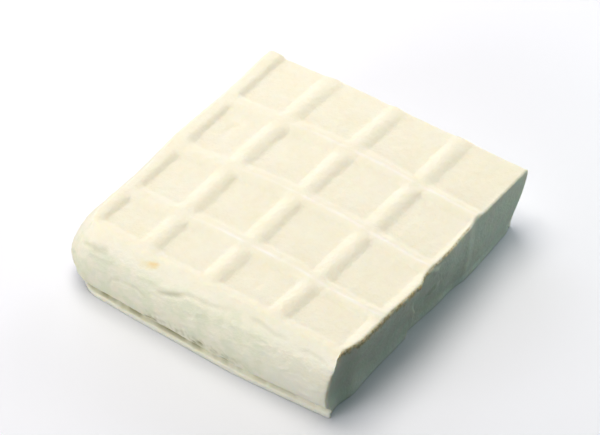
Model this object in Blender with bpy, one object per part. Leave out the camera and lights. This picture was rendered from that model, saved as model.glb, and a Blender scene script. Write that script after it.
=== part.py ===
"""A block of firm tofu, turned out of its box and lying with the moulded side up.

The top carries the print of the box's grid: shallow square cells between low rounded ridges. The
front (-Y) and left (-X) walls were moulded too. They swell towards the base and stand on a thin
lip, which the rim of the box pressed out. The right (+X) and back (+Y) walls were cut with a
knife: their top edges are sharp, and they lean in towards a short foot. The right wall has a
step down its middle, where the knife was set a second time.
"""

import math

import bmesh
import bpy

# Driving dimensions, in metres. Before the block is centred, X = 0 and Y = 0 are the planes of the
# left and front walls, and Z = 0 is the base.
WIDTH = 0.1185  # X, left wall to right cut
DEPTH = 0.1190  # Y, front wall to back cut
HEIGHT = 0.0291  # base to the crests of the ridges

CELL_DEPTH = 0.0013  # crest to cell floor
RIDGE_HALF = 0.0045  # crest to foot
FILLET = 0.06  # how soft the corner at a ridge's foot is
LONG_RIDGES = (  # crests that run from front to back: Y, and X there
    ((0.010, 0.0302), (0.073, 0.0286), (0.104, 0.0292)),
    ((0.014, 0.0589), (0.070, 0.0580), (0.112, 0.0596)),
    ((0.010, 0.0885), (0.037, 0.0896), (0.110, 0.0899)),
    ((0.012, 0.1197), (0.046, 0.1212), (0.076, 0.1209), (0.112, 0.1216)),
)
CROSS_RIDGES = (  # crests that run from left to right: X, and Y there
    ((0.013, 0.0267), (0.050, 0.0286), (0.078, 0.0287), (0.098, 0.0273), (0.114, 0.0266)),
    ((0.010, 0.0555), (0.050, 0.0595), (0.076, 0.0592), (0.098, 0.0575), (0.114, 0.0562)),
    ((0.013, 0.0870), (0.048, 0.0895), (0.072, 0.0894), (0.098, 0.0878), (0.114, 0.0869)),
)
CROSS_HALF = ((0.060, 0.0045), (0.100, 0.0036))  # X, and a cross ridge from crest to foot
RIDGE_ENDS = ((0.108, 1.0), (DEPTH, 0.5))  # Y and height left, where ridges run out at the cut
RIM_LEFT = ((0.020, 0.0086), (0.050, 0.0082), (0.078, 0.0070), (0.108, 0.0063))  # Y, X of its foot
RIM_FRONT = ((0.020, 0.0094), (0.040, 0.0084))  # X, and Y of its foot
RIM_LEFT_HALF = ((0.055, 0.0034), (0.078, 0.0026))  # Y, and X from the rim's flat top to its foot
RIM_FRONT_HALF = 0.0042
SHOULDER_LEFT = 0.0026  # radius where a moulded wall turns into the top
SHOULDER_FRONT = 0.0041
SHOULDER_TALL = 1.8  # a moulded shoulder's height for each unit of its width
KNIFE_EDGE = 0.0012  # radius of a cut edge
REACH = 0.0140  # how far into the top a wall's own unevenness is felt

# How far a moulded wall stands outside its plane at its shoulder, its belly and the groove over
# its lip. The left wall sags more at its front end than at its back one, and the front wall's
# lip draws in towards its right end.
OUT_FRONT = (-0.0021, 0.0036, 0.0022)
OUT_FRONT_RIGHT = (-0.0021, 0.0028, -0.0001)
OUT_LEFT_FRONT = (-0.0013, 0.0065, 0.0028)
OUT_LEFT_BACK = (0.0011, 0.0052, 0.0012)
FRONT_FULLNESS = ((0.0, 0.80), (0.040, 0.96), (0.072, 1.04))  # X and share
FRONT_CHANGE = (0.072, WIDTH)  # X between the two shapes of the front wall
LEFT_CHANGE = (0.036, 0.061)  # Y between the two shapes of the left wall
LEFT_FLARE = ((0.095, 0.0), (DEPTH, 0.0011))  # Y and how far its top edge opens out
BELLY_FRONT = 0.0090  # height of the fullest part of the wall
BELLY_LEFT = 0.0092
GROOVE = 0.0029  # height of the groove
LIP = 0.0018  # thickness of the lip
LIP_OUT = 0.0014  # how far the lip stands out from the groove
LIP_OUT_LEFT = 0.0005

# The cut walls. The knife was set twice on the right one, which steps in along a crooked line.
STEP_LINE = ((0.0, 0.0455), (0.005, 0.0500), (0.0095, 0.0495), (0.0213, 0.0445), (HEIGHT, 0.0493))
STEP_HALF = ((0.004, 0.0005), (0.024, 0.0008), (HEIGHT, 0.0026))  # height, and half its width
STEP_IN = 0.0019
STEP_SPREAD = (-0.0035, -0.0020, -0.0007, 0.0007, 0.0020)  # lattice lines against its top end
RIGHT_EDGE = (  # Y, and how far the top edge stands outside the plane X = WIDTH
    (0.004, -0.0005),
    (0.0145, 0.0019),
    (0.030, 0.0020),
    (0.040, 0.0026),
    (0.052, 0.0030),
    (0.066, 0.0030),
    (0.080, 0.0020),
    (0.085, 0.0013),
)
RIGHT_LEAN = (  # Y, and how far the foot lies inside the top edge
    (0.002, 0.0041),
    (0.028, 0.0057),
    (0.044, 0.0064),
    (0.070, 0.0052),
    (0.086, 0.0027),
    (0.110, 0.0035),
)
RIGHT_FULLNESS = ((0.004, -0.6), (0.030, 0.0), (0.045, 0.0), (0.090, 1.0))
BACK_EDGE = ((0.0, 0.0), (0.040, 0.0012), (0.070, 0.0005), (WIDTH, -0.0002))
BACK_LEAN = 0.0030
FOOT_OUT = 0.0003  # how far the foot of a cut wall comes out again
FOOT_FADE = (0.085, 0.112)  # the foot dies out over this stretch, towards the back right corner
FOOT = 0.0024  # height of that foot

CORNER_FRONT_LEFT = (0.0115, 0.0077, 0.0132)  # radius at the lip, at the belly and at the top
CORNER_FRONT_RIGHT = 0.0010
CORNER_BACK_LEFT = 0.0012
CORNER_BACK_RIGHT = (0.0100, 0.0012)  # at the base and at the top

TOFU = (0.90, 0.83, 0.66, 1.0)


def ease(start, end, value):
    """0 before start and 1 past end, with a soft turn between them."""
    share = min(max((value - start) / (end - start), 0.0), 1.0)
    return share * share * (3.0 - 2.0 * share)


def follow(stops, place):
    """The size at a place, eased from each (place, size) stop to the next."""
    size = stops[0][1]
    for (start, here), (end, there) in zip(stops, stops[1:]):
        size += (there - here) * ease(start, end, place)
    return size


def arch(distance, half):
    """A ridge's section: 1 on the crest, and 0 past its foot, with a small fillet between."""
    rise = 1.0 - (distance / half) ** 2
    return (rise + math.sqrt(rise * rise + FILLET)) / (1.0 + math.sqrt(1.0 + FILLET))


def ridge_share(x, y):
    """1 on a ridge or a rim, and 0 on the floor of a cell."""
    half = follow(RIM_LEFT_HALF, y)
    cell = 1.0 - arch(max(0.0, x - follow(RIM_LEFT, y) + half), half)
    cell *= 1.0 - arch(max(0.0, y - follow(RIM_FRONT, x) + RIM_FRONT_HALF), RIM_FRONT_HALF)
    for crest in LONG_RIDGES:
        cell *= 1.0 - follow(RIDGE_ENDS, y) * arch(x - follow(crest, y), RIDGE_HALF)
    for crest in CROSS_RIDGES:
        cell *= 1.0 - arch(y - follow(crest, x), follow(CROSS_HALF, x))
    return 1.0 - cell


def relief(x, y):
    """Height of the top against the crests: 0 on a ridge or a rim, below 0 in a cell."""
    return -CELL_DEPTH * (1.0 - ridge_share(x, y))


def between(first, second, share):
    """Sizes that lie a share of the way from the first list to the second."""
    return [one + (other - one) * share for one, other in zip(first, second)]


def moulded(height, outs, belly, lip_out, fullness=1.0):
    """How far a moulded wall stands out at a height: its belly, the groove below it and the lip."""
    at_shoulder, at_belly, at_groove = outs
    over = max(height - belly, 0.0) / (HEIGHT - belly)
    under = min(max(belly - height, 0.0) / (belly - GROOVE), 1.0)
    swell = (at_belly - at_shoulder) * math.cos(0.5 * math.pi * over)
    swell -= (at_belly - at_groove) * under**3
    return at_shoulder + fullness * (swell + lip_out * ease(GROOVE, LIP, height))


def cut(height, fullness):
    """How far a cut wall leans in, from 0 at the top edge to 1 over its foot. A fullness of 1 is a
    belly that stays out most of the way down, 0 is an even slope, and -1 is hollow."""
    share = min(max((HEIGHT - height) / (HEIGHT - FOOT), 0.0), 1.0)
    slope = 0.5 - 0.5 * math.cos(math.pi * share)
    return slope + fullness * (share**2.2 - slope)


def foot(along, height):
    """How far the foot of a cut wall comes out, at a place along the wall and a height."""
    return FOOT_OUT * ease(FOOT, 0.3 * FOOT, height) * (1.0 - 0.9 * ease(*FOOT_FADE, along))


def push_left(y, height):
    outs = between(OUT_LEFT_FRONT, OUT_LEFT_BACK, ease(*LEFT_CHANGE, y))
    flare = follow(LEFT_FLARE, y) * ease(0.0, HEIGHT, height)
    return flare + moulded(height, outs, BELLY_LEFT, LIP_OUT_LEFT)


def push_front(x, height):
    outs = between(OUT_FRONT, OUT_FRONT_RIGHT, ease(*FRONT_CHANGE, x))
    return moulded(height, outs, BELLY_FRONT, LIP_OUT, follow(FRONT_FULLNESS, x))


def push_right(y, height):
    """The knife was set twice here, so the wall steps in along a slightly crooked line."""
    step = follow(STEP_LINE, height)
    half = follow(STEP_HALF, height)
    lean = follow(RIGHT_LEAN, y) * cut(height, follow(RIGHT_FULLNESS, y))
    edge = follow(RIGHT_EDGE, y) - STEP_IN * ease(step - half, step + half, y)
    return edge - lean + foot(y, height)


def push_back(x, height):
    return follow(BACK_EDGE, x) - BACK_LEAN * cut(height, 1.0) + foot(x, height)


def turned(gap_x, gap_y, radius):
    """A rounded corner: the shifts in from both walls, and the share of each wall's push."""
    near_x = max(0.0, 1.0 - gap_x / radius)
    near_y = max(0.0, 1.0 - gap_y / radius)
    share_x = math.sqrt(1.0 - 0.5 * near_y**2)
    share_y = math.sqrt(1.0 - 0.5 * near_x**2)
    return radius * near_x * (1.0 - share_x), radius * near_y * (1.0 - share_y), share_x, share_y


def corner_radii(z):
    """The radius of each upright corner at a height: front left, front right, back left, back right."""
    at_lip, at_belly, at_top = CORNER_FRONT_LEFT
    front_left = at_lip + (at_belly - at_lip) * ease(LIP, 2.0 * GROOVE, z)
    front_left += (at_top - at_belly) * ease(BELLY_LEFT, HEIGHT, z)
    at_base, at_top = CORNER_BACK_RIGHT
    back_right = at_base + (at_top - at_base) * ease(0.0, HEIGHT, z)
    return front_left, CORNER_FRONT_RIGHT, CORNER_BACK_LEFT, back_right


def placed(x, y, z):
    """Where a point of the plain box lies on the block."""
    left, right, front, back = x, WIDTH - x, y, DEPTH - y
    gaps = ((left, front, 1, 1), (right, front, -1, 1), (left, back, 1, -1), (right, back, -1, -1))
    share_x = share_y = 1.0
    new_x, new_y = x, y
    for (gap_x, gap_y, to_x, to_y), radius in zip(gaps, corner_radii(z)):
        in_x, in_y, keep_x, keep_y = turned(gap_x, gap_y, radius)
        new_x += to_x * in_x
        new_y += to_y * in_y
        share_x *= keep_x
        share_y *= keep_y

    drop = 0.0
    for gap, radius, tall, axis, inward in (
        (left, SHOULDER_LEFT, SHOULDER_TALL, 0, share_x),
        (front, SHOULDER_FRONT, SHOULDER_TALL, 1, share_y),
        (right, KNIFE_EDGE, 1.0, 0, -share_x),
        (back, KNIFE_EDGE, 1.0, 1, -share_y),
    ):
        into, down, _, _ = turned(gap, (HEIGHT - z) / tall, radius)
        drop = max(drop, down)
        if axis == 0:
            new_x += inward * into
        else:
            new_y += inward * into

    for gap, push, axis in (
        (left, -push_left(y, z) * share_x, 0),
        (right, push_right(y, z) * share_x, 0),
        (front, -push_front(x, z) * share_y, 1),
        (back, push_back(x, z) * share_y, 1),
    ):
        felt = push * (1.0 - ease(0.0, REACH, gap))
        if axis == 0:
            new_x += felt
        else:
            new_y += felt

    near_top = ease(HEIGHT - 2.0 * SHOULDER_FRONT, HEIGHT, z)
    return new_x, new_y, z - drop + near_top * relief(new_x, new_y)


def crest_lines(crests):
    """The lattice line that each crest keeps to: the middle of its path."""
    return [0.5 * (min(places) + max(places)) for _, places in (zip(*crest) for crest in crests)]


def drift(crests, across, along, size):
    """How far a lattice line moves sideways to keep to the crests, fading to 0 at both walls."""
    stops = [(0.0, 0.0)]
    for line, crest in zip(crest_lines(crests), crests):
        if line < size:
            stops.append((line, follow(crest, along) - line))
    return follow(stops + [(size, 0.0)], across)


def lines_across(size, shoulder, rim, rim_half, crests):
    """Lattice lines from a moulded wall to a cut one: close on the shoulder, on the rim's flank and
    on the ridges, and wide apart on the floors of the cells."""
    lines = [share * shoulder for share in (0.0, 0.3, 0.65, 1.0)]
    lines += [rim - share * rim_half for share in (0.95, 0.5, 0.0)]
    middles = crest_lines(crests)
    for start, crest in zip([rim] + middles, middles):
        lines.append(0.5 * (start + crest))
        lines += [crest + share * RIDGE_HALF for share in (-1.0, -0.55, 0.0, 0.55, 1.0)]
    last_floor = 0.5 * (lines[-1] + size - RIDGE_HALF)
    lines += [last_floor, size - RIDGE_HALF, size - 0.5 * RIDGE_HALF, size - KNIFE_EDGE, size]
    return sorted(line for line in lines if line <= size)


def levels():
    """Lattice heights from the base to the top: close on the lip, the groove and the shoulder."""
    lip = [0.0, 0.6 * LIP, LIP, 0.5 * (LIP + GROOVE), GROOVE]
    below = [GROOVE + share * (BELLY_LEFT - GROOVE) for share in (0.25, 0.5, 0.95)]
    high = HEIGHT - SHOULDER_TALL * SHOULDER_FRONT
    above = [BELLY_LEFT + share * (high - BELLY_LEFT) for share in (0.17, 0.37, 0.57, 0.77)]
    shoulder = [HEIGHT - share * (HEIGHT - high) for share in (1.0, 0.72, 0.46, 0.22)]
    return lip + below + above + shoulder + [HEIGHT - KNIFE_EDGE, HEIGHT]


def lattice(stations):
    """A unit cube cut so that its lines can slide to the stations given for X, Y and Z."""
    bm = bmesh.new()
    bmesh.ops.create_cube(bm, size=1.0)
    for axis, lines in enumerate(stations):
        edges = [e for e in bm.edges if abs(e.verts[0].co[axis] - e.verts[1].co[axis]) > 0.5]
        bmesh.ops.subdivide_edges(bm, edges=edges, cuts=len(lines) - 2, use_grid_fill=True)
    for vert in bm.verts:
        for axis, lines in enumerate(stations):
            vert.co[axis] = lines[round((vert.co[axis] + 0.5) * (len(lines) - 1))]
    return bm


def centre_on_base(bm):
    """Moves the mesh so that the middle of its box is at X = Y = 0 and its base at Z = 0."""
    for axis in (0, 1):
        values = [vert.co[axis] for vert in bm.verts]
        middle = 0.5 * (min(values) + max(values))
        for vert in bm.verts:
            vert.co[axis] -= middle


def tofu_material():
    material = bpy.data.materials.new("tofu")
    material.use_nodes = True
    shader = material.node_tree.nodes["Principled BSDF"]
    shader.inputs["Base Color"].default_value = TOFU
    shader.inputs["Roughness"].default_value = 0.45
    shader.inputs["Metallic"].default_value = 0.0
    return material


def tofu_block(collection):
    whole_ridges = LONG_RIDGES[:-1]
    rim_foot, rim_half = follow(RIM_LEFT, 0.5 * DEPTH), follow(RIM_LEFT_HALF, 0.5 * DEPTH)
    across = lines_across(WIDTH, SHOULDER_LEFT, rim_foot, rim_half, whole_ridges)
    rim_foot = follow(RIM_FRONT, 0.5 * WIDTH)
    along = lines_across(DEPTH, SHOULDER_FRONT, rim_foot, RIM_FRONT_HALF, CROSS_RIDGES)
    along = sorted(along + [STEP_LINE[-1][1] + shift for shift in STEP_SPREAD])
    bm = lattice((across, along, levels()))
    for vert in bm.verts:
        x, y, z = vert.co
        x += drift(whole_ridges, x, y, WIDTH)
        y += drift(CROSS_RIDGES, y, x, DEPTH)
        vert.co = placed(x, y, z)
    centre_on_base(bm)
    bmesh.ops.recalc_face_normals(bm, faces=bm.faces)
    mesh = bpy.data.meshes.new("tofu_block")
    bm.to_mesh(mesh)
    bm.free()
    mesh.shade_smooth()
    mesh.set_sharp_from_angle(angle=math.radians(40.0))
    mesh.materials.append(tofu_material())
    block = bpy.data.objects.new("tofu_block", mesh)
    collection.objects.link(block)
    return block


def main():
    for obj in list(bpy.data.objects):
        bpy.data.objects.remove(obj, do_unlink=True)
    collection = bpy.data.collections.new("tofu_block")
    bpy.context.scene.collection.children.link(collection)
    tofu_block(collection)


main()
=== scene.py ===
# %% [markdown]
# # A block of firm tofu
#
# Firm tofu sets in a box lined with cloth. A grooved lid presses the whey out and prints its
# pattern on the curd: shallow square cells between low rounded ridges. Two walls of this block
# were moulded by the box, and two were cut with a knife when a bigger slab was divided.
#
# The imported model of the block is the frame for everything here. It gives the real size and the
# place, in metres, with +Z up. Nothing in this script moves it or resizes it.

# %% Load the frame
import math

import bmesh
import bpy
from mathutils import Matrix, Vector, noise


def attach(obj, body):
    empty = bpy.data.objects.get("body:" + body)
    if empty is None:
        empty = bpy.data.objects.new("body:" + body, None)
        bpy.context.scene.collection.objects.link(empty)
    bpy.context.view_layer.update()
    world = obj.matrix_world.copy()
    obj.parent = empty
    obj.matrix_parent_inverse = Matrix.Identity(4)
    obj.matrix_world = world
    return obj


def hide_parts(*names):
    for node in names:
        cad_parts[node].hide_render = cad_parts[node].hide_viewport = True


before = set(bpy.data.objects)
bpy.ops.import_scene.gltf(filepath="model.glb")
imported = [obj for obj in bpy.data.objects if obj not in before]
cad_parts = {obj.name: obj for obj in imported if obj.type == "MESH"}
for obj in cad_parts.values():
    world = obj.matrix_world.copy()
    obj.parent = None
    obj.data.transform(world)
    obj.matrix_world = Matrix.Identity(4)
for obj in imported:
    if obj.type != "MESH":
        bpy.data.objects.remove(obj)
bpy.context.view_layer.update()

# %% [markdown]
# ## The camera
#
# Food is often shown from about 45 degrees above, with a long lens. Such a lens stands far back,
# so parallel edges stay nearly parallel and the block doesn't look as if it were tipping away.
#
# A camera looks along its own -Z axis, so its matrix is built from three directions: right, up
# and back. The camera is also turned a little about its line of sight, which tilts the picture.

# %% Camera
AZIMUTH = math.radians(39.6)  # from -Y towards +X
ELEVATION = math.radians(43.3)
ROLL = math.radians(-3.3)
TARGET = Vector((0.00847, -0.00844, 0.0291))  # a point in the plane of the ridges' crests
DISTANCE = 0.874
LENS = 146.4  # millimetres
SENSOR = 36.0  # its width, in millimetres


def camera_matrix():
    back = Vector(
        (
            math.sin(AZIMUTH) * math.cos(ELEVATION),
            -math.cos(AZIMUTH) * math.cos(ELEVATION),
            math.sin(ELEVATION),
        )
    )
    level = Vector((0.0, 0.0, 1.0)).cross(back).normalized()
    right = Matrix.Rotation(ROLL, 3, back) @ level
    matrix = Matrix((right, back.cross(right), back)).transposed().to_4x4()
    matrix.translation = TARGET + DISTANCE * back
    return matrix


camera = bpy.data.objects.new("camera", bpy.data.cameras.new("camera"))
camera.data.sensor_width = SENSOR
camera.data.lens = LENS
camera.matrix_world = camera_matrix()
bpy.context.scene.collection.objects.link(camera)
bpy.context.scene.camera = camera
print("camera stands", round(camera.location.z, 3), "m above the floor")

# %% [markdown]
# ## The sizes of the block
#
# All the shape functions below work from these sizes. X = 0 and Y = 0 are the planes of the two
# moulded walls, left and front, and Z = 0 is the base. The frame's origin lies under the middle of
# the block, and the shaped block is moved there at the end. A wall's own bumps are given as
# distances outside its plane.

# %% Sizes
WIDTH = 0.1185  # X, left wall to right cut
DEPTH = 0.1190  # Y, front wall to back cut
HEIGHT = 0.0291  # base to the crests of the ridges
ORIGIN = Vector((0.0573980, 0.0581669, 0.0))  # the frame's origin, from the two wall planes

CELL_DEPTH = 0.0013  # crest to cell floor
RIDGE_HALF = 0.0045  # crest to foot
LONG_RIDGES = (  # crests that run from front to back: Y, and X there
    ((0.010, 0.0302), (0.073, 0.0286), (0.104, 0.0292)),
    ((0.014, 0.0589), (0.070, 0.0580), (0.112, 0.0596)),
    ((0.010, 0.0885), (0.037, 0.0896), (0.110, 0.0899)),
    ((0.012, 0.1197), (0.046, 0.1212), (0.076, 0.1209), (0.112, 0.1216)),
)
CROSS_RIDGES = (  # crests that run from left to right: X, and Y there
    ((0.013, 0.0267), (0.050, 0.0286), (0.078, 0.0287), (0.098, 0.0273), (0.114, 0.0266)),
    ((0.010, 0.0555), (0.050, 0.0595), (0.076, 0.0592), (0.098, 0.0575), (0.114, 0.0562)),
    ((0.013, 0.0870), (0.048, 0.0895), (0.072, 0.0894), (0.098, 0.0878), (0.114, 0.0869)),
)
CROSS_HALF = ((0.060, 0.0045), (0.100, 0.0036))  # X, and a cross ridge from crest to foot
RIDGE_ENDS = ((0.108, 1.0), (DEPTH, 0.5))  # Y and height left, where ridges run out at the cut
RIM_LEFT = ((0.020, 0.0086), (0.050, 0.0082), (0.078, 0.0070), (0.108, 0.0063))  # Y, X of its foot
RIM_FRONT = ((0.020, 0.0094), (0.040, 0.0084))  # X, and Y of its foot
RIM_LEFT_HALF = ((0.055, 0.0034), (0.078, 0.0026))  # Y, and X from the rim's flat top to its foot
RIM_FRONT_HALF = 0.0042
SHOULDER_LEFT = 0.0026  # radius where a moulded wall turns into the top
SHOULDER_FRONT = 0.0041
SHOULDER_TALL = 1.8  # a moulded shoulder's height for each unit of its width
KNIFE_EDGE = 0.0012  # radius of a cut edge
REACH = 0.0140  # how far into the top a wall's own unevenness is felt

OUT_FRONT = (-0.0021, 0.0036, 0.0022)  # at the shoulder, the belly and the groove
OUT_FRONT_RIGHT = (-0.0021, 0.0028, -0.0001)
OUT_LEFT_FRONT = (-0.0013, 0.0065, 0.0028)
OUT_LEFT_BACK = (0.0011, 0.0052, 0.0012)
FRONT_FULLNESS = ((0.0, 0.80), (0.040, 0.96), (0.072, 1.04))  # X and share
FRONT_CHANGE = (0.072, WIDTH)  # X between the two shapes of the front wall
LEFT_CHANGE = (0.036, 0.061)  # Y between the two shapes of the left wall
LEFT_FLARE = ((0.095, 0.0), (DEPTH, 0.0011))  # Y and how far its top edge opens out
BELLY_FRONT = 0.0090  # height of the fullest part of the wall
BELLY_LEFT = 0.0092
GROOVE = 0.0029  # height of the groove
LIP = 0.0018  # thickness of the lip
LIP_OUT = 0.0014  # how far the lip stands out from the groove
LIP_OUT_LEFT = 0.0005

STEP_LINE = ((0.0, 0.0455), (0.005, 0.0500), (0.0095, 0.0495), (0.0213, 0.0445), (HEIGHT, 0.0493))
STEP_HALF = ((0.004, 0.0005), (0.024, 0.0008), (HEIGHT, 0.0026))  # height, and half its width
STEP_IN = 0.0019
RIGHT_EDGE = (  # Y, and how far the top edge stands outside the plane X = WIDTH
    (0.004, -0.0005),
    (0.0145, 0.0019),
    (0.030, 0.0020),
    (0.040, 0.0026),
    (0.052, 0.0030),
    (0.066, 0.0030),
    (0.080, 0.0020),
    (0.085, 0.0013),
)
RIGHT_LEAN = (  # Y, and how far the foot lies inside the top edge
    (0.002, 0.0041),
    (0.028, 0.0057),
    (0.044, 0.0064),
    (0.070, 0.0052),
    (0.086, 0.0027),
    (0.110, 0.0035),
)
RIGHT_FULLNESS = ((0.004, -0.6), (0.030, 0.0), (0.045, 0.0), (0.090, 1.0))
BACK_EDGE = ((0.0, 0.0), (0.040, 0.0012), (0.070, 0.0005), (WIDTH, -0.0002))
BACK_LEAN = 0.0030
FOOT_OUT = 0.0003  # how far the foot of a cut wall comes out again
FOOT_FADE = (0.085, 0.112)  # the foot dies out over this stretch, towards the back right corner
FOOT = 0.0024  # height of that foot
FOOT_ROUND = 0.3  # share of that height where it is fully out
FOOT_LOST = 0.9  # share of the foot that dies out
CUT_BELLY = 2.2  # power that gives a cut wall its belly

CORNER_FRONT_LEFT = (0.0115, 0.0077, 0.0132)  # radius at the lip, at the belly and at the top
CORNER_FRONT_RIGHT = 0.0010
CORNER_BACK_LEFT = 0.0012
CORNER_BACK_RIGHT = (0.0100, 0.0012)  # at the base and at the top

# %% [markdown]
# ## Soft steps
#
# Curd has no hard changes of shape, so every change goes through the same soft step, which starts
# and ends level. A list of stops, each a place and a size there, is eased from stop to stop.


# %% Ease and follow
def ease(start, end, value):
    """0 before start and 1 past end, with a soft turn between them."""
    share = min(max((value - start) / (end - start), 0.0), 1.0)
    return share * share * (3.0 - 2.0 * share)


def follow(stops, place):
    """The size at a place, eased from each (place, size) stop to the next."""
    size = stops[0][1]
    for (start, here), (end, there) in zip(stops, stops[1:]):
        size += (there - here) * ease(start, end, place)
    return size


print("halfway through a soft step:", ease(0.0, 1.0, 0.5))

# %% [markdown]
# ## The printed grid
#
# Each groove of the lid printed a ridge with a section like a low arch: round on top, steepest at
# its feet. The height of the top is worked out as a product: a cell starts at full depth, and every
# ridge or rim near the point takes its share away. Where two ridges cross, the product is already
# nought, so a crossing doesn't rise above the ridges, as in the real print.
#
# The curd gave way unevenly under the lid, so each crest follows its own slightly bent line, the
# cross ridges narrow towards the right, and a slow noise shifts the whole print by a few tenths of
# a millimetre.


# %% Relief of the top
FILLET = 0.06  # how soft the corner at a foot is
DRIFT = 0.0003  # how far the print wanders off its lines
DRIFT_SIZE = 0.012  # length over which it wanders
ELSEWHERE = Vector((0.0, 0.0, 7.0))  # a step through the noise, to a pattern unlike the first


def arch(distance, half):
    """A ridge's section: 1 on the crest, and 0 past its foot, with a small fillet between."""
    rise = 1.0 - (distance / half) ** 2
    return (rise + math.sqrt(rise * rise + FILLET)) / (1.0 + math.sqrt(1.0 + FILLET))


def ridge_share(x, y):
    """1 on a ridge or a rim, and 0 on the floor of a cell."""
    half = follow(RIM_LEFT_HALF, y)
    cell = 1.0 - arch(max(0.0, x - follow(RIM_LEFT, y) + half), half)
    cell *= 1.0 - arch(max(0.0, y - follow(RIM_FRONT, x) + RIM_FRONT_HALF), RIM_FRONT_HALF)
    for crest in LONG_RIDGES:
        cell *= 1.0 - follow(RIDGE_ENDS, y) * arch(x - follow(crest, y), RIDGE_HALF)
    for crest in CROSS_RIDGES:
        cell *= 1.0 - arch(y - follow(crest, x), follow(CROSS_HALF, x))
    return 1.0 - cell


def relief(x, y):
    """Height of the top against the crests: 0 on a ridge or a rim, below 0 in a cell."""
    place = Vector((x, y, 0.0)) / DRIFT_SIZE
    shift_x = DRIFT * noise.noise(place)
    shift_y = DRIFT * noise.noise(place + ELSEWHERE)
    return -CELL_DEPTH * (1.0 - ridge_share(x + shift_x, y + shift_y))


print("cell floor:", round(1000 * relief(0.045, 0.045), 2), "mm against the crests")

# %% [markdown]
# ## The four walls
#
# A moulded wall sags: it stands back at its shoulder, swells to a belly low down, and turns in
# again above the thin lip that was squeezed out under the box. A knife-cut wall leans in towards
# its foot. Each function gives how far the wall stands outside its plane at one place.


# %% Walls
def between(first, second, share):
    """Sizes that lie a share of the way from the first list to the second."""
    return [one + (other - one) * share for one, other in zip(first, second)]


def moulded(height, outs, belly, lip_out, fullness=1.0):
    """How far a moulded wall stands out at a height: its belly, the groove below it and the lip."""
    at_shoulder, at_belly, at_groove = outs
    over = max(height - belly, 0.0) / (HEIGHT - belly)
    under = min(max(belly - height, 0.0) / (belly - GROOVE), 1.0)
    swell = (at_belly - at_shoulder) * math.cos(0.5 * math.pi * over)
    swell -= (at_belly - at_groove) * under**3
    return at_shoulder + fullness * (swell + lip_out * ease(GROOVE, LIP, height))


def cut(height, fullness):
    """How far a cut wall leans in, from 0 at the top edge to 1 over its foot.

    A fullness of 1 is a belly that stays out most of the way down, 0 is an even slope, and a
    fullness below 0 is hollow.
    """
    share = min(max((HEIGHT - height) / (HEIGHT - FOOT), 0.0), 1.0)
    slope = 0.5 - 0.5 * math.cos(math.pi * share)
    return slope + fullness * (share**CUT_BELLY - slope)


def foot(along, height):
    """How far the foot of a cut wall comes out, at a place along the wall and a height."""
    out = FOOT_OUT * ease(FOOT, FOOT_ROUND * FOOT, height)
    return out * (1.0 - FOOT_LOST * ease(*FOOT_FADE, along))


def push_left(y, height):
    outs = between(OUT_LEFT_FRONT, OUT_LEFT_BACK, ease(*LEFT_CHANGE, y))
    flare = follow(LEFT_FLARE, y) * ease(0.0, HEIGHT, height)
    return flare + moulded(height, outs, BELLY_LEFT, LIP_OUT_LEFT)


def push_front(x, height):
    outs = between(OUT_FRONT, OUT_FRONT_RIGHT, ease(*FRONT_CHANGE, x))
    return moulded(height, outs, BELLY_FRONT, LIP_OUT, follow(FRONT_FULLNESS, x))


def push_right(y, height):
    """The knife was set twice here, so the wall steps in along a slightly crooked line."""
    step = follow(STEP_LINE, height)
    half = follow(STEP_HALF, height)
    lean = follow(RIGHT_LEAN, y) * cut(height, follow(RIGHT_FULLNESS, y))
    edge = follow(RIGHT_EDGE, y) - STEP_IN * ease(step - half, step + half, y)
    return edge - lean + foot(y, height)


def push_back(x, height):
    return follow(BACK_EDGE, x) - BACK_LEAN * cut(height, 1.0) + foot(x, height)


print("belly of the left wall:", round(1000 * push_left(0.02, BELLY_LEFT), 1), "mm out")

# %% [markdown]
# ## From a plain box to the block
#
# One function takes a point of the plain box to its place on the block. It first rounds the four
# upright corners and the top edges, then adds each wall's push, and last the print of the grid.
#
# A rounded corner squeezes the square's edge onto a quarter circle. Near a corner each wall's push
# is faded by the same share, so that the two walls meet without a fold.


# %% Placing a point
def turned(gap_x, gap_y, radius):
    """A rounded corner: the shifts in from both walls, and the share of each wall's push."""
    near_x = max(0.0, 1.0 - gap_x / radius)
    near_y = max(0.0, 1.0 - gap_y / radius)
    share_x = math.sqrt(1.0 - 0.5 * near_y**2)
    share_y = math.sqrt(1.0 - 0.5 * near_x**2)
    return radius * near_x * (1.0 - share_x), radius * near_y * (1.0 - share_y), share_x, share_y


def corner_radii(z):
    """Each upright corner's radius at a height: front left and right, then back left and right."""
    at_lip, at_belly, at_top = CORNER_FRONT_LEFT
    front_left = at_lip + (at_belly - at_lip) * ease(LIP, 2.0 * GROOVE, z)
    front_left += (at_top - at_belly) * ease(BELLY_LEFT, HEIGHT, z)
    at_base, at_top = CORNER_BACK_RIGHT
    back_right = at_base + (at_top - at_base) * ease(0.0, HEIGHT, z)
    return front_left, CORNER_FRONT_RIGHT, CORNER_BACK_LEFT, back_right


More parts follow.
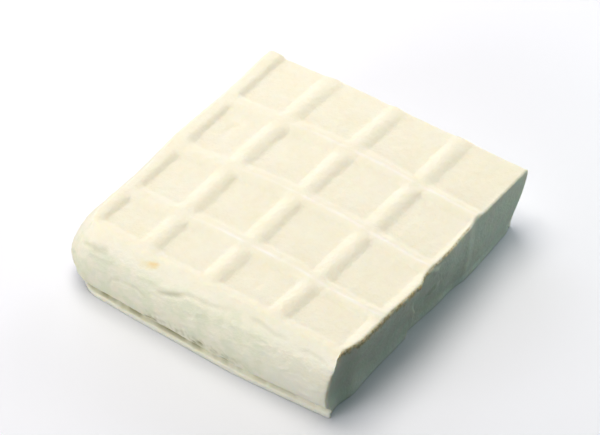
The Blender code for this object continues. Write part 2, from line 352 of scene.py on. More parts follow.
def placed(x, y, z):
    """Where a point of the plain box lies on the block."""
    left, right, front, back = x, WIDTH - x, y, DEPTH - y
    gaps = ((left, front, 1, 1), (right, front, -1, 1), (left, back, 1, -1), (right, back, -1, -1))
    share_x = share_y = 1.0
    new_x, new_y = x, y
    for (gap_x, gap_y, to_x, to_y), radius in zip(gaps, corner_radii(z)):
        in_x, in_y, keep_x, keep_y = turned(gap_x, gap_y, radius)
        new_x += to_x * in_x
        new_y += to_y * in_y
        share_x *= keep_x
        share_y *= keep_y

    drop = 0.0
    for gap, radius, tall, axis, inward in (
        (left, SHOULDER_LEFT, SHOULDER_TALL, 0, share_x),
        (front, SHOULDER_FRONT, SHOULDER_TALL, 1, share_y),
        (right, KNIFE_EDGE, 1.0, 0, -share_x),
        (back, KNIFE_EDGE, 1.0, 1, -share_y),
    ):
        into, down, _, _ = turned(gap, (HEIGHT - z) / tall, radius)
        drop = max(drop, down)
        if axis == 0:
            new_x += inward * into
        else:
            new_y += inward * into

    for gap, push, axis in (
        (left, -push_left(y, z) * share_x, 0),
        (right, push_right(y, z) * share_x, 0),
        (front, -push_front(x, z) * share_y, 1),
        (back, push_back(x, z) * share_y, 1),
    ):
        felt = push * (1.0 - ease(0.0, REACH, gap))
        if axis == 0:
            new_x += felt
        else:
            new_y += felt

    near_top = ease(HEIGHT - 2.0 * SHOULDER_FRONT, HEIGHT, z)
    return Vector((new_x, new_y, z - drop + near_top * relief(new_x, new_y)))


corner = placed(WIDTH, 0.0, HEIGHT)
print("the front right top corner lies at", [round(1000 * c, 1) for c in corner])

# %% [markdown]
# ## A lattice to shape
#
# The mesh starts as one cube. Its edges are cut evenly along each axis, and then every lattice line
# slides to its station. The lines lie close together on the small radii, where the shape turns
# fast, and further apart on the open faces. A cube cut this way has only four-sided faces and no
# poles, so it can be bent into the block without pinches.
#
# The base is flat and rests on the floor, so its many faces are joined into one. That leaves the
# triangles for the sides that show.

# %% Lattice
SPACING = 0.00066  # between lattice lines on the open faces
CLOSE = 0.0005  # over the left shoulder, the lip and the groove
CLOSE_FRONT = 0.0006  # over the front shoulder
TIGHT = 0.5 * KNIFE_EDGE  # on a cut edge
CUT_BAND = 0.0016  # a stretch inside each cut edge, where the torn skin needs closer lines


def stations(*stretches):
    """Lattice lines over stretches given as (end, spacing), starting from 0."""
    lines = [0.0]
    for end, spacing in stretches:
        start = lines[-1]
        count = math.ceil((end - start) / spacing)
        lines += [start + (end - start) * step / count for step in range(1, count + 1)]
    return lines


def lattice(axes):
    """A unit cube cut so that its lines can slide to the stations given for X, Y and Z."""
    bm = bmesh.new()
    bmesh.ops.create_cube(bm, size=1.0)
    for axis, lines in enumerate(axes):
        edges = [e for e in bm.edges if abs(e.verts[0].co[axis] - e.verts[1].co[axis]) > 0.5]
        bmesh.ops.subdivide_edges(bm, edges=edges, cuts=len(lines) - 2, use_grid_fill=True)
    bm.normal_update()
    base = [face for face in bm.faces if face.normal.z < -0.5]
    bmesh.ops.dissolve_faces(bm, faces=base, use_verts=False)
    for vert in bm.verts:
        for axis, lines in enumerate(axes):
            vert.co[axis] = lines[round((vert.co[axis] + 0.5) * (len(lines) - 1))]
    return bm


block = lattice(
    (
        stations((SHOULDER_LEFT, CLOSE), (WIDTH - CUT_BAND, SPACING), (WIDTH, TIGHT)),
        stations((SHOULDER_FRONT, CLOSE_FRONT), (DEPTH - CUT_BAND, SPACING), (DEPTH, TIGHT)),
        stations((2.0 * GROOVE, CLOSE), (HEIGHT - SHOULDER_FRONT, SPACING), (HEIGHT, TIGHT)),
    )
)
box_places = [vert.co.copy() for vert in block.verts]
for vert in block.verts:
    vert.co = placed(*vert.co)
bmesh.ops.recalc_face_normals(block, faces=block.faces)
block.normal_update()
print("lattice of", len(block.verts), "points and", len(block.faces), "faces")

# %% [markdown]
# ## Lines drawn on a wall
#
# Creases, folds and dents are each a short line on a wall, with a depth and a half width. A point
# finds its distance to the line, and sinks by a bell-shaped share of the depth. The share fades
# towards both ends of the line, as a crease in curd does. Such lines are worked on the finished
# form, along its normals, so they stay the right size wherever the wall curves.


# %% Lines that press in
LINE_REACH = 3.0  # half widths, past which a line isn't felt
LINE_RISE = 5.0  # how fast a line gains its depth from either end
LINE_END = 0.15  # share of its depth at the very end


def bell(gap, half):
    """A soft bump: 1 in its middle, and nearly 0 two half widths away."""
    return math.exp(-((gap / half) ** 2))


def near_line(u, v, points):
    """The distance from (u, v) to a line through points, and how far along it, from 0 to 1."""
    nearest, along = 1.0, 0.0
    spans = list(zip(points, points[1:]))
    for count, ((u0, v0), (u1, v1)) in enumerate(spans):
        run_u, run_v = u1 - u0, v1 - v0
        share = ((u - u0) * run_u + (v - v0) * run_v) / (run_u**2 + run_v**2)
        share = min(max(share, 0.0), 1.0)
        gap = math.hypot(u - u0 - share * run_u, v - v0 - share * run_v)
        if gap < nearest:
            nearest, along = gap, (count + share) / len(spans)
    return nearest, along


def pressed(u, v, lines):
    """How deep all the lines press in at (u, v), in metres. A negative depth is a raised fold."""
    depth = 0.0
    for line_depth, half, points in lines:
        gap, along = near_line(u, v, points)
        if gap < LINE_REACH * half:
            ends = min(1.0, LINE_RISE * along * (1.0 - along) + LINE_END)
            depth += line_depth * ends * bell(gap, half)
    return depth


print("one half width beside a line:", round(bell(1.0, 1.0), 2), "of its depth")

# %% [markdown]
# ## Creases, folds and dents
#
# The front wall has two long creases under its shoulder, where the sagging curd folded, and a few
# short ones. On the right wall the knife dragged up a fold where it was set a second time. A
# shallow dent by the left rim is the only one on the top.
#
# Each line below gives its depth, its half width and its points: (X, height) on the front wall,
# (Y, height) on the right wall and (X, Y) on the top.

# %% Creases
FRONT_LINES = (
    (
        0.00015,
        0.0008,
        ((0.040, 0.0186), (0.048, 0.0212), (0.054, 0.0240), (0.0635, 0.0243), (0.0767, 0.0268)),
    ),
    (0.00018, 0.0010, ((0.040, 0.0186), (0.0446, 0.0202), (0.049, 0.0216), (0.052, 0.0226))),
    (
        0.00016,
        0.0007,
        ((0.017, 0.0095), (0.0195, 0.0143), (0.0245, 0.0156), (0.0311, 0.0165), (0.038, 0.0140)),
    ),
    (0.00014, 0.0008, ((0.079, 0.0264), (0.0858, 0.0266), (0.0917, 0.0256), (0.099, 0.0262))),
    (0.00012, 0.0008, ((0.100, 0.0244), (0.1067, 0.0256), (0.111, 0.0254), (0.1158, 0.0243))),
    (0.00018, 0.0017, ((0.0085, 0.0226), (0.0125, 0.0232), (0.0175, 0.0243))),
    (0.00014, 0.0007, ((0.003, 0.0208), (0.0065, 0.0222), (0.0100, 0.0228))),
)
RIGHT_LINES = (
    (-0.00100, 0.0007, ((0.0572, 0.0123), (0.0600, 0.0141), (0.0624, 0.0155))),
    (-0.00035, 0.0015, ((0.0562, 0.0262), (0.0600, 0.0247))),
    (0.00030, 0.0008, ((0.0560, 0.0290), (0.0590, 0.0270), (0.0660, 0.0262))),
    (0.00015, 0.0015, ((0.0700, 0.0070), (0.0800, 0.0085), (0.0900, 0.0092))),
)
TOP_LINES = ((0.00026, 0.0018, ((0.0142, 0.0680), (0.0143, 0.0735), (0.0147, 0.0785))),)
print(len(FRONT_LINES + RIGHT_LINES + TOP_LINES), "creases, folds and dents")

# %% [markdown]
# ## Cloth wrinkles, knife streaks, pits and curd grain
#
# The box's cloth leaves fine wrinkles on a moulded wall. They run nearly level and climb a little
# to the right, so the noise is stretched along that slant: its steps are long one way and short
# the other. On a cut wall the knife dragged level streaks, made in the same way without a slant.
# Where the front wall turns in over the lip, whey ran out and left a row of small pits.
#
# The whole block also swells slowly, and its surface has a soft mottled grain, the size of the
# curds. The last number in each place given to the noise only picks a pattern of its own.


# %% Fine relief
WRINKLE_SLANT = math.radians(17.0)
WRINKLE_LONG = 0.0055
WRINKLE_SHORT = 0.0013
WRINKLE_FINER = 2.1  # how many times smaller the fine wrinkles are
WRINKLE_COARSE_RISE = 0.00013
WRINKLE_FINE_RISE = 0.00010
DRAG_LONG = 0.0090
DRAG_SHORT = 0.0021
DRAG_FINER_LONG = 2.3  # how many times shorter the fine streaks are
DRAG_FINER_SHORT = 2.7  # how many times narrower they are
DRAG_COARSE_RISE = 0.00012
DRAG_FINE_RISE = 0.00008
SWELLS = ((0.00016, 0.017), (0.00007, 0.006))  # height and size
GRAIN = ((0.00011, 0.0024), (0.00004, 0.0011))
PITS = (  # X, height, half length and half height
    (0.0364, 0.0045, 0.0017, 0.0011),
    (0.0392, 0.0052, 0.0012, 0.0006),
    (0.0578, 0.0050, 0.0012, 0.0009),
    (0.0606, 0.0064, 0.0016, 0.0012),
    (0.0716, 0.0043, 0.0020, 0.0008),
)


def wrinkles(along, height):
    """Height of the cloth's wrinkles on a moulded wall."""
    cos, sin = math.cos(WRINKLE_SLANT), math.sin(WRINKLE_SLANT)
    down_run = (along * cos + height * sin) / WRINKLE_LONG
    across = (height * cos - along * sin) / WRINKLE_SHORT
    coarse = noise.noise(Vector((down_run, across, 3.0)))
    fine = noise.noise(Vector((WRINKLE_FINER * down_run, WRINKLE_FINER * across, 9.0)))
    return WRINKLE_COARSE_RISE * coarse + WRINKLE_FINE_RISE * fine


def drag(along, height):
    """Height of the streaks that the knife dragged along a cut wall."""
    coarse = noise.noise(Vector((along / DRAG_LONG, height / DRAG_SHORT, 13.0)))
    finer_along = DRAG_FINER_LONG * along / DRAG_LONG
    finer_height = DRAG_FINER_SHORT * height / DRAG_SHORT
    fine = noise.noise(Vector((finer_along, finer_height, 17.0)))
    return DRAG_COARSE_RISE * coarse + DRAG_FINE_RISE * fine


def pitted(x, height):
    """How deep the pits are at a place on the front wall, as a share of a whole pit."""
    return max(bell(x - at, long) * bell(height - level, high) for at, level, long, high in PITS)


def noises(place, sizes):
    """The sum of several noises at a place, each given as its height and its size."""
    return sum(rise * noise.noise(place / size) for rise, size in sizes)


def unevenness(place):
    """Height of the block's slow swells and of the grain of its curds."""
    return noises(place, SWELLS) + noises(place, GRAIN)


print("wrinkle at the middle of the front wall:", round(1e6 * wrinkles(0.06, 0.012)), "micrometres")

# %% [markdown]
# ## Painted crest highlights and torn skin
#
# Two marks depend on their place alone. Along the crest of each cross ridge runs a thin, nearly
# white line of painted highlight, and the crest stands a tenth of a millimetre proud there. The
# highlight is plain on the right, fades towards the left and over each long ridge, and is stronger
# in some stretches than in others.
#
# The knife tore the skin in a ragged strip along the top of the right wall. The strip is widest
# near the front, thins past the step and is gone before the back. A noise makes its lower limit
# ragged.


# %% Crest highlights and torn skin
# The crest line is a painted highlight, a thin nearly white colour on each cross ridge's crest.
CREST_HALF = 0.0006  # half the width of the pale line
CREST_SHOWS = ((0.012, 0.0), (0.034, 0.35), (0.050, 0.9), (0.070, 1.0))  # X, and how plain it is
CREST_EVEN = 0.75  # its strength where the noise is 0
CREST_UNEVEN = 0.6
CREST_PATCH = 0.009  # length of its stronger and weaker stretches
CROSSING_HALF = 0.0024  # half the width over which it fades at a long ridge
CROSSING_FADE = 0.8
TORN_BAND = 0.0028  # height of the torn skin under the cut edge
TORN_ENDS = (0.0020, 0.0440, 0.0620)  # Y where it starts, where it thins and where it ends
TORN_TAIL = 0.02  # length over which its last part dies out
TORN_THINNED = 0.5
TORN_UNEVEN = 0.8
TORN_PATCH = 0.0018
TORN_SOLID = 0.6  # share of the band above its soft lower limit
TINY = 1e-5


def crest_highlight_line(place):
    """How plain the painted highlight along the nearest cross ridge's crest is at a place on the
    top.
    """
    gap = min(abs(place.y - follow(crest, place.x)) for crest in CROSS_RIDGES)
    crossing = min(abs(place.x - follow(crest, place.y)) for crest in LONG_RIDGES)
    shows = follow(CREST_SHOWS, place.x) * (1.0 - CROSSING_FADE * bell(crossing, CROSSING_HALF))
    shows *= CREST_EVEN + CREST_UNEVEN * noise.noise(place / CREST_PATCH)
    return shows * bell(gap, CREST_HALF)


def torn_share(y, height):
    """1 on the torn skin at the top of the right wall, with a ragged lower limit."""
    ragged = 1.0 + TORN_UNEVEN * noise.noise(Vector((y / TORN_PATCH, 0.0, 5.0)))
    start, thin, end = TORN_ENDS
    band = TORN_BAND * ragged * ease(0.0, start, y) * (1.0 - TORN_THINNED * ease(thin, end, y))
    band *= 1.0 - ease(end, end + TORN_TAIL, y)
    return 1.0 - ease(TORN_SOLID * band, band + TINY, HEIGHT - height) if band > 0.0 else 0.0


print("torn skin 0.5 mm under the edge at Y = 30 mm:", round(torn_share(0.03, HEIGHT - 0.0005), 2))

# %% [markdown]
# ## Painted shade on the lower front wall
#
# The groove over the lip is painted with an olive shade, a dark line broken into stronger and
# weaker stretches, and a fainter line of it lies on the lip's top under the groove. Just above the
# groove, where the wall tucks under, the same painted shade lies in specks. Every crease holds a
# little of it too, by its depth.
#
# Below the roll of the shoulder, the whole front wall is darker and greener from painted shade,
# except at the right end and on the lip. That needs only a height, which rises and falls a little
# along the wall.


# %% Painted shade in the groove and on the front wall
# The groove's dark line, the line on the lip and the specks above the groove are painted shade.
GROOVE_LINE = 0.0030  # height of the dark line in the groove
GROOVE_HALF = 0.0008
GROOVE_WORN = ((0.050, 1.0), (0.075, 0.45))  # X, and how deep the line still is there
GROOVE_PATCH = 0.0035  # length of its stronger and weaker stretches
GROOVE_WEAKEST = 0.2
GROOVE_EVEN = 0.75  # its strength where the noise is 0
GROOVE_UNEVEN = 1.2
LIP_SHADE_LINE = 0.0022  # height of the line on the lip
LIP_SHADE_HALF = 0.0007
TUCK_SHADE = ((0.030, 0.10), (0.040, 0.50), (0.074, 0.50), (0.090, 0.10))  # X, and strength there
TUCK_SHADE_LEVEL = 0.0066
TUCK_SHADE_HALF = 0.0028
TUCK_SHADE_EVEN = 0.25
TUCK_SHADE_SPECKS = ((1.0, 0.0014), (0.6, 0.005))  # strength and size
# Below the line given here, the front wall gets painted shade.
ROLL_LINE = (  # X, and the height where the front wall's warm roll ends
    (0.0, 0.0235),
    (0.040, 0.0235),
    (0.057, 0.0252),
    (0.077, 0.0266),
    (WIDTH, 0.0262),
)
ROLL_HALF = 0.0020
# The painted shade of the front wall fades out towards the right end, and down over the lip.
WALL_SHADE_FADES = ((0.080, 1.0), (0.105, 0.0))  # X, and how grey the wall still is there
WALL_SHADE_LIP_CLEAR = (0.6 * LIP, 1.4 * LIP)  # the grey fades over this height, on the way down to the lip


def broken(place):
    """How strong the groove's line of painted shade is at a place along the block."""
    patch = noise.noise(Vector((place.x + place.y, 0.0, 5.0)) / GROOVE_PATCH)
    return min(1.0, max(GROOVE_WEAKEST, GROOVE_EVEN + GROOVE_UNEVEN * patch))


def tuck_shade(place):
    """How strongly painted shade specks the front wall above the groove, at a place."""
    specks = max(0.0, TUCK_SHADE_EVEN + noises(place, TUCK_SHADE_SPECKS))
    return specks * follow(TUCK_SHADE, place.x) * bell(place.z - TUCK_SHADE_LEVEL, TUCK_SHADE_HALF)


def wall_shaded(home, place):
    """How much painted shade darkens the front wall at a place, below the shoulder's roll."""
    roll = follow(ROLL_LINE, place.x)
    below = 1.0 - ease(roll - ROLL_HALF, roll + ROLL_HALF, place.z)
    return below * follow(WALL_SHADE_FADES, place.x) * ease(*WALL_SHADE_LIP_CLEAR, home.z)


print("warm roll ends at", round(1000 * follow(ROLL_LINE, 0.06), 1), "mm in the middle")

# %% [markdown]
# ## Where each wall's marks apply
#
# A point's normal says which wall it belongs to, with soft limits so that marks fade round the
# shoulders. The cut walls are told apart by their place in the plain box, because the torn skin
# ends exactly at the knife's edge.
#
# Five marks are also kept as attributes of the mesh, one number for each point, for the material
# to read later: the olive painted shade in the groove, pits, specks and creases; the painted shade
# of the lower front wall; cut (knife-cut wall); torn (the ragged skin under the cut edge); and the
# painted highlight along the crests of the cross ridges.


# %% Shape the surface
FACING = (0.2, 0.7)  # how far a normal leans towards a wall where its marks start and are full
FACING_UP = (0.5, 0.9)
UPRIGHT = (0.75, 0.97)  # how level a normal is where the wrinkles start and are full
ON_WALL = 1e-6
CUT_FADES = (HEIGHT - 0.2 * KNIFE_EDGE, HEIGHT - 0.8 * KNIFE_EDGE)  # where a cut's finish sets in
PIT_DEPTH = 0.00045
CREST_RISE = 0.00010
TORN_DEPTH = 0.00025
TORN_EVEN = 0.6
TORN_GRAIN = 0.0009
LIP_NOTCH = 0.0435  # X of a nick in the lip's edge
LIP_NOTCH_HALF = 0.0006
LIP_NOTCH_DEPTH = 0.0005
LIP_WAVE = 0.0002  # how far the lip's edge wanders
LIP_WAVE_LONG = 0.006
SMOOTHER_CUT = 0.6  # share of the unevenness that the knife took away
GROOVE_CUT = 0.0004  # depth of the line in the groove
# Painted shade on the lip's top and in the creases, by each crease's depth.
LIP_SHADED = 0.20  # strength of the line on the lip
CREASE_SHADE = 1500.0  # strength of the stain for each metre of a crease's depth
BASE_FADE = 0.0012  # all relief dies out over this height, down to the flat base
MARKS = ("fold_shade", "painted_wall_shade", "cut", "torn", "crest")


def surface(home, place, normal):
    """The move in along the normal, and the five marks, for a point at home in the plain box."""
    front = ease(*FACING, -normal.y)
    left = ease(*FACING, -normal.x)
    top = ease(*FACING_UP, normal.z)
    right_wall = home.x > WIDTH - ON_WALL
    cut_wall = right_wall or home.y > DEPTH - ON_WALL
    cut_share = ease(*CUT_FADES, home.z) if cut_wall else 0.0
    skin = 1.0 - cut_share
    creased = front * pressed(place.x, place.z, FRONT_LINES) if front > 0.0 else 0.0
    pits = front * pitted(place.x, place.z) if front > 0.0 else 0.0
    # The crest share sets both the painted highlight and the crest's small rise.
    crest = top * crest_highlight_line(place) if top > 0.0 else 0.0
    torn = torn_share(home.y, home.z) if right_wall else 0.0
    worn = max(front, left) * follow(GROOVE_WORN, place.x)
    line = worn * bell(home.z - GROOVE_LINE, GROOVE_HALF)

    depth = creased + PIT_DEPTH * pits - CREST_RISE * crest + GROOVE_CUT * line
    if left + front > 0.0:
        cloth = front * wrinkles(place.x, place.z) + left * wrinkles(-place.y, place.z)
        depth -= skin * ease(*UPRIGHT, math.hypot(normal.x, normal.y)) * cloth
    if top > 0.0:
        depth += top * pressed(place.x, place.y, TOP_LINES)
    if cut_wall:
        depth -= cut_share * drag(place.y if right_wall else place.x, place.z)
    if right_wall:
        depth += pressed(place.y, place.z, RIGHT_LINES)
        depth += torn * TORN_DEPTH * (TORN_EVEN + noise.noise(place / TORN_GRAIN))
    if home.z < LIP:
        depth += LIP_NOTCH_DEPTH * front * bell(place.x - LIP_NOTCH, LIP_NOTCH_HALF)
        along = Vector((place.x + place.y, 0.0, 0.0))
        depth += LIP_WAVE * noise.noise(along / LIP_WAVE_LONG)
    depth -= unevenness(place) * (1.0 - SMOOTHER_CUT * cut_share)

    # Painted shade: olive in the groove, on the lip's top, in pits, in specks and in creases.
    lip = LIP_SHADED * worn * bell(home.z - LIP_SHADE_LINE, LIP_SHADE_HALF)
    painted_shades = (line * broken(place), pits, lip, front * tuck_shade(place), CREASE_SHADE * creased)
    fold_shade = min(1.0, max(painted_shades))
    # Painted shade over the front wall below the shoulder's roll.
    painted_wall_shade = front * skin * wall_shaded(home, place)
    return depth * ease(0.0, BASE_FADE, home.z), (fold_shade, painted_wall_shade, cut_share, torn, crest)


layers = [block.verts.layers.float.new(mark) for mark in MARKS]
moves = [surface(home, v.co, v.normal) for home, v in zip(box_places, block.verts)]
for vert, (depth, marks) in zip(block.verts, moves):
    vert.co -= depth * vert.normal + ORIGIN
    for layer, mark in zip(layers, marks):
        vert[layer] = mark
print("deepest mark:", round(1000 * max(depth for depth, marks in moves), 2), "mm")

# %% [markdown]
# ## The finished piece
#
# The shaped mesh becomes one object at the origin. It stands for the plain block of the frame, so
# it replaces that node. Shading is smooth, except over edges sharper than the angle below, which
# are the rim of the base.

# %% Make the block
SHARP = math.radians(60.0)

mesh = bpy.data.meshes.new("tofu")
block.to_mesh(mesh)
block.free()
mesh.shade_smooth()
mesh.set_sharp_from_angle(angle=SHARP)
tofu = bpy.data.objects.new("tofu", mesh)
bpy.context.scene.collection.objects.link(tofu)
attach(tofu, "root")
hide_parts("tofu_block")
mesh.calc_loop_triangles()
print("the block has", len(mesh.loop_triangles), "triangles")

# %% [markdown]
# ## Building a material from nodes
#
# A material is a small graph. These helpers keep its code short: one adds a node and fills its
# sockets, with a value or with a link, and the others mix two colours, reshape a number, combine
# two numbers, make a noise or read a mark of the mesh.


# %% Node helpers
MIX_SHARE, MIX_UNDER, MIX_OVER, MIX_RESULT = 0, 6, 7, 2  # a Mix node's sockets for colours


def fill(tree, socket, value):
    """Links another node's output to a socket, or sets the socket to a plain value."""
    if isinstance(value, bpy.types.NodeSocket):
        tree.links.new(value, socket)
    else:
        socket.default_value = value


def add(tree, kind, settings=(), **inputs):
    """Adds a node. Settings are pairs, and each input takes a value or another node's output."""
    node = tree.nodes.new(kind)
    for name, value in settings:
        setattr(node, name, value)
    for name, value in inputs.items():
        fill(tree, node.inputs[name.replace("_", " ")], value)
    return node


def colour(red, green, blue):
    return red, green, blue, 1.0


def mix(tree, share, under, over):
    """The colour that lies a share of the way from under to over."""
    node = add(tree, "ShaderNodeMix", (("data_type", "RGBA"),))
    for index, value in ((MIX_SHARE, share), (MIX_UNDER, under), (MIX_OVER, over)):
        fill(tree, node.inputs[index], value)
    return node.outputs[MIX_RESULT]


def ramp(tree, value, low, high, to_low=0.0, to_high=1.0):
    """A number between two limits, mapped to two others."""
    limits = {"From_Min": low, "From_Max": high, "To_Min": to_low, "To_Max": to_high}
    return add(tree, "ShaderNodeMapRange", Value=value, **limits).outputs["Result"]


def combine(tree, operation, first, second):
    """Two numbers added or multiplied."""
    node = add(tree, "ShaderNodeMath", (("operation", operation),))
    fill(tree, node.inputs[0], first)
    fill(tree, node.inputs[1], second)
    return node.outputs[0]


def speckle(tree, places, scale, detail=2.0):
    """A noise of the given scale, in bumps for each metre."""
    return add(tree, "ShaderNodeTexNoise", Vector=places, Scale=scale, Detail=detail).outputs["Fac"]


def mark(tree, name):
    """One of the marks kept on the mesh, as a number."""
    return add(tree, "ShaderNodeAttribute", (("attribute_name", name),)).outputs["Fac"]


print("helpers: fill, add, mix, ramp, combine, speckle and mark")

# %% [markdown]
# ## The rusty stain
#
# One small rust-coloured stain marks the front shoulder. A Mapping node turns and scales space so
# that the oval stain becomes a ball of radius 1. The distance from its middle then gives the share
# of colour, and a noise makes its edge ragged. A smaller, darker one inside it gives it a core.


# %% Stain
STAIN_TURN = (0.0, math.radians(-15.0), math.radians(16.0))  # it climbs the shoulder
STAIN_AT = Vector((0.0342, 0.0019, 0.0263))  # on the front shoulder, from the wall planes
STAIN_SIZE = Vector((0.0056, 0.0022, 0.0022))
STAIN_CORE_AT = Vector((0.0363, 0.0024, 0.0269))
STAIN_CORE_SIZE = Vector((0.0036, 0.0014, 0.0014))
STAIN_WOBBLE = 1.3  # scale of its ragged edge, in bumps for each radius
STAIN_RAGGED = 0.3  # how far that edge wanders, as a share of the radius
STAIN_SOLID = 0.2  # share of the radius where it is fully coloured


def stain(tree, places, at, size):
    """1 in the middle of an oval stain, fading out to its edge."""
    around = add(
        tree,
        "ShaderNodeMapping",
        (("vector_type", "TEXTURE"),),
        Vector=places,
        Location=at - ORIGIN,
        Rotation=STAIN_TURN,
        Scale=size,
    ).outputs["Vector"]
    wobble = speckle(tree, around, STAIN_WOBBLE)
    distance = add(tree, "ShaderNodeVectorMath", (("operation", "LENGTH"),))
    tree.links.new(around, distance.inputs[0])
    edge = ramp(tree, wobble, 0.3, 0.7, -STAIN_RAGGED, STAIN_RAGGED)
    ragged = combine(tree, "ADD", distance.outputs["Value"], edge)
    return ramp(tree, ragged, 1.0, STAIN_SOLID)


print("the stain is", round(2000 * STAIN_SIZE.x, 1), "mm long")

# %% [markdown]
# ## The colours of tofu
#
# Pressed curd is a moist, creamy white with a touch of yellow, never one flat colour. Slow patches
# drift between cream and a more buttery tone, and a fine mottle of ivory shows the curds. A nearly
# white painted highlight runs along the crests of the cross ridges. Below the shoulder, painted
# shade makes the front wall a little darker and greener, in blotches. A cut wall shows the inside
# of the curd, a little greener and blotched too.
#
# Over that come the olive painted shade in the groove, pits and creases, the stain, and the brown
# skin torn by the knife.
# Each layer is mixed over the last one by a mark of the mesh, a noise, or both. The two numbers
# after a noise are the values where its layer starts and where it is full.


# %% Colours
CREAM = colour(0.865, 0.825, 0.705)
BUTTER = colour(0.855, 0.805, 0.65)
IVORY = colour(0.885, 0.855, 0.75)
# Painted highlight along the crests of the cross ridges.
CREST_HIGHLIGHT = colour(0.94, 0.905, 0.88)
# Painted shade of the lower front wall: a little darker and greener, in blotches.
WALL_SHADE_TONE = colour(0.87, 0.83, 0.685)
WALL_SHADE_GREEN = colour(0.79, 0.785, 0.615)
INSIDE = colour(0.825, 0.845, 0.735)
INSIDE_DULL = colour(0.85, 0.815, 0.73)
# Olive painted shade for the groove, pits, specks and creases.
OLIVE_SHADE = colour(0.28, 0.26, 0.11)
PEACH = colour(0.84, 0.765, 0.54)
RUST = colour(0.85, 0.68, 0.38)
TORN = colour(0.90, 0.76, 0.48)
TORN_DARK = colour(0.55, 0.46, 0.27)
PATCHES = 70.0  # scale of the slow patches, in bumps for each metre
BLOTCHES = 190.0
TORN_FLECKS = 900.0
TORN_GAPS = 520.0
MOTTLE_SHOWS = 0.45  # how far the mottle reaches towards ivory
CREST_HIGHLIGHT_SHOWS = 0.9
OLIVE_SHADE_SHOWS = 0.9


def curd(tree, places, mottle):
    """The moulded skin and the cut inside, before anything stained them."""
    shade = mix(tree, ramp(tree, speckle(tree, places, PATCHES, 3.0), 0.35, 0.7), CREAM, BUTTER)
    shade = mix(tree, ramp(tree, mottle, 0.35, 0.7, 0.0, MOTTLE_SHOWS), shade, IVORY)
    blotches = speckle(tree, places, BLOTCHES, 4.0)
    # Painted shade: the front wall below the shoulder's roll, darker and greener in blotches.
    wall_shade_colour = mix(tree, ramp(tree, blotches, 0.42, 0.62), WALL_SHADE_TONE, WALL_SHADE_GREEN)
    shade = mix(tree, mark(tree, "painted_wall_shade"), shade, wall_shade_colour)
    # Painted highlight: a nearly white line along the crests of the cross ridges.
    crest = ramp(tree, mark(tree, "crest"), 0.0, 1.0, 0.0, CREST_HIGHLIGHT_SHOWS)
    shade = mix(tree, crest, shade, CREST_HIGHLIGHT)
    inside = mix(tree, ramp(tree, blotches, 0.40, 0.60), INSIDE, INSIDE_DULL)
    return mix(tree, mark(tree, "cut"), shade, inside)


def shaded_and_stained(tree, places, shade):
    """Olive painted shade in the groove, pits and creases, and the stain with its core."""
    shade = mix(tree, ramp(tree, mark(tree, "fold_shade"), 0.05, 1.0, 0.0, OLIVE_SHADE_SHOWS), shade, OLIVE_SHADE)
    shade = mix(tree, stain(tree, places, STAIN_AT, STAIN_SIZE), shade, PEACH)
    return mix(tree, stain(tree, places, STAIN_CORE_AT, STAIN_CORE_SIZE), shade, RUST)


def torn_over(tree, places, shade):
    """The torn skin, in flecks of two browns with gaps between them."""
    flecks = ramp(tree, speckle(tree, places, TORN_FLECKS), 0.42, 0.58)
    gaps = ramp(tree, speckle(tree, places, TORN_GAPS), 0.38, 0.56, 0.25, 1.0)
    share = combine(tree, "MULTIPLY", mark(tree, "torn"), gaps)
    return mix(tree, share, shade, mix(tree, flecks, TORN_DARK, TORN))


print("layers: curd, stained and torn_over")

# %% [markdown]
# ## The finish of tofu
#
# The fine mottle and a still finer noise give a bump, for curds too small for the mesh. Wet and
# drier patches change the roughness. Light enters curd and comes out again a little further on, so
# the shader has some subsurface scattering, more for red than for blue. A thin wet film, the coat,
# gives the soft shine.


# %% Tofu material
MOTTLE = 420.0  # scales, in bumps for each metre
CURDS = 1100.0
WET_PATCHES = 160.0
WETTEST, DRIEST = 0.48, 0.62  # roughness
BUMP_STRENGTH = 0.9
BUMP_DEPTH = 0.00018
FINISH = {
    "IOR": 1.40,
    "Subsurface Weight": 0.45,
    "Subsurface Radius": (1.0, 0.75, 0.45),
    "Subsurface Scale": 0.0020,
    "Coat Weight": 0.06,
    "Coat Roughness": 0.25,
}


def tofu_material():
    material = bpy.data.materials.new("tofu")
    material.use_nodes = True
    tree = material.node_tree
    shader = tree.nodes["Principled BSDF"]
    places = add(tree, "ShaderNodeTexCoord").outputs["Object"]

    mottle = speckle(tree, places, MOTTLE, 3.0)
    shade = shaded_and_stained(tree, places, curd(tree, places, mottle))
    tree.links.new(torn_over(tree, places, shade), shader.inputs["Base Color"])
    wet = ramp(tree, speckle(tree, places, WET_PATCHES, 4.0), 0.3, 0.7, WETTEST, DRIEST)
    tree.links.new(wet, shader.inputs["Roughness"])
    grain = combine(tree, "ADD", speckle(tree, places, CURDS, 3.0), mottle)
    bump = add(tree, "ShaderNodeBump", Strength=BUMP_STRENGTH, Distance=BUMP_DEPTH)
    tree.links.new(grain, bump.inputs["Height"])
    tree.links.new(bump.outputs["Normal"], shader.inputs["Normal"])

    for name, value in FINISH.items():
        shader.inputs[name].default_value = value
    return material


mesh.materials.append(tofu_material())
print("tofu material:", len(mesh.materials[0].node_tree.nodes), "nodes")

# %% [markdown]
# ## The floor
#
# The block lies on a plain pale surface, much larger than the view, so its edge never shows close
# by.
#
# A pale floor throws much light back up, which would wash out the shade on the right wall. So the
# floor has its pale colour only for rays straight from the camera, and a dark one for light that
# bounces on to the block, much as black card is laid around an object in a studio.


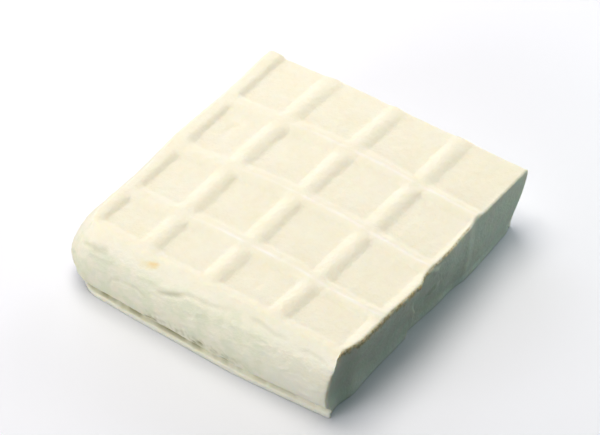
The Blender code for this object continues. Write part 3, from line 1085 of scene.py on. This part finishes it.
# %% Floor
FLOOR_HALF = 4.0
FLOOR_GAP = 0.0001  # below the base, so that the two never share a plane
FLOOR_COLOUR = colour(0.88, 0.89, 0.98)
FLOOR_CLOUD = colour(0.82, 0.84, 0.94)
FLOOR_CLOUDS = 3.0  # scale, in clouds for each metre
FLOOR_CLOUDY = 0.25
FLOOR_BOUNCE = colour(0.10, 0.10, 0.11)  # what light that comes off the block meets
FLOOR_ROUGHNESS = 0.7


def floor_material():
    material = bpy.data.materials.new("floor")
    material.use_nodes = True
    tree = material.node_tree
    shader = tree.nodes["Principled BSDF"]
    places = add(tree, "ShaderNodeTexCoord").outputs["Object"]
    cloud = ramp(tree, speckle(tree, places, FLOOR_CLOUDS), 0.3, 0.7, 0.0, FLOOR_CLOUDY)
    shade = mix(tree, cloud, FLOOR_COLOUR, FLOOR_CLOUD)
    seen = add(tree, "ShaderNodeLightPath").outputs["Is Camera Ray"]
    tree.links.new(mix(tree, seen, FLOOR_BOUNCE, shade), shader.inputs["Base Color"])
    shader.inputs["Roughness"].default_value = FLOOR_ROUGHNESS
    return material


bm = bmesh.new()
bmesh.ops.create_grid(bm, x_segments=1, y_segments=1, size=FLOOR_HALF)
bmesh.ops.translate(bm, verts=bm.verts, vec=(0.0, 0.0, -FLOOR_GAP))
floor_mesh = bpy.data.meshes.new("floor")
bm.to_mesh(floor_mesh)
bm.free()
floor_mesh.materials.append(floor_material())
floor = bpy.data.objects.new("floor", floor_mesh)
bpy.context.scene.collection.objects.link(floor)
print("floor:", 2.0 * FLOOR_HALF, "m wide")

# %% [markdown]
# ## Soft studio light
#
# Six softboxes light the block. A large one low at the back grazes the top and draws one bright
# and one dark flank on every ridge, and one at the back left lights the left rim. One in front on
# the left, nearly level with the floor, lights the front wall. A warm one overhead fills the cells.
# The right wall gets only two dim, slightly green ones, so it falls into soft shade, and the block
# reads as solid.
#
# The world behind the floor looks bright to the camera but gives the block very little light, so
# that the softboxes alone decide the shading.


# %% Lights
SOFTBOXES = (  # name, azimuth and elevation in degrees, distance, size, watts, colour
    ("back", 180.0, 20.0, 1.2, 0.7, 4.9, (0.99, 0.95, 1.0)),
    ("back left", -126.0, 25.0, 0.7, 0.5, 1.65, (0.94, 0.96, 1.0)),
    ("front left", -22.0, 1.0, 0.8, 0.6, 9.1, (0.96, 0.97, 0.97)),
    ("top", -115.0, 78.0, 1.0, 0.7, 8.0, (1.0, 0.955, 0.84)),
    ("right", 60.0, 12.0, 0.4, 0.3, 0.105, (0.60, 0.98, 0.92)),
    ("back right", 138.0, 6.0, 0.28, 0.10, 0.155, (0.72, 0.97, 0.90)),
)
AMBIENT = 0.05  # strength of the world on the block
BACKDROP = (0.93, 0.94, 0.96, 1.0)


def softbox(name, azimuth, elevation, distance, size, watts, tint):
    """A square light that faces the block. Azimuth 0 stands in front, and 90 to the right."""
    around, above = math.radians(azimuth), math.radians(elevation)
    back = Vector(
        (math.sin(around) * math.cos(above), -math.cos(around) * math.cos(above), math.sin(above))
    )
    light = bpy.data.lights.new(name, "AREA")
    light.size = size
    light.energy = watts
    light.color = tint
    lamp = bpy.data.objects.new(name, light)
    lamp.location = distance * back
    lamp.rotation_euler = back.to_track_quat("Z", "Y").to_euler()
    bpy.context.scene.collection.objects.link(lamp)


for box in SOFTBOXES:
    softbox(*box)

world = bpy.data.worlds.new("studio")
bpy.context.scene.world = world
world.use_nodes = True
tree = world.node_tree
seen = add(tree, "ShaderNodeLightPath").outputs["Is Camera Ray"]
strength = ramp(tree, seen, 0.0, 1.0, AMBIENT, 1.0)
tree.nodes["Background"].inputs["Color"].default_value = BACKDROP
tree.links.new(strength, tree.nodes["Background"].inputs["Strength"])
bpy.context.scene.view_settings.view_transform = "Standard"
print(len(SOFTBOXES), "softboxes")
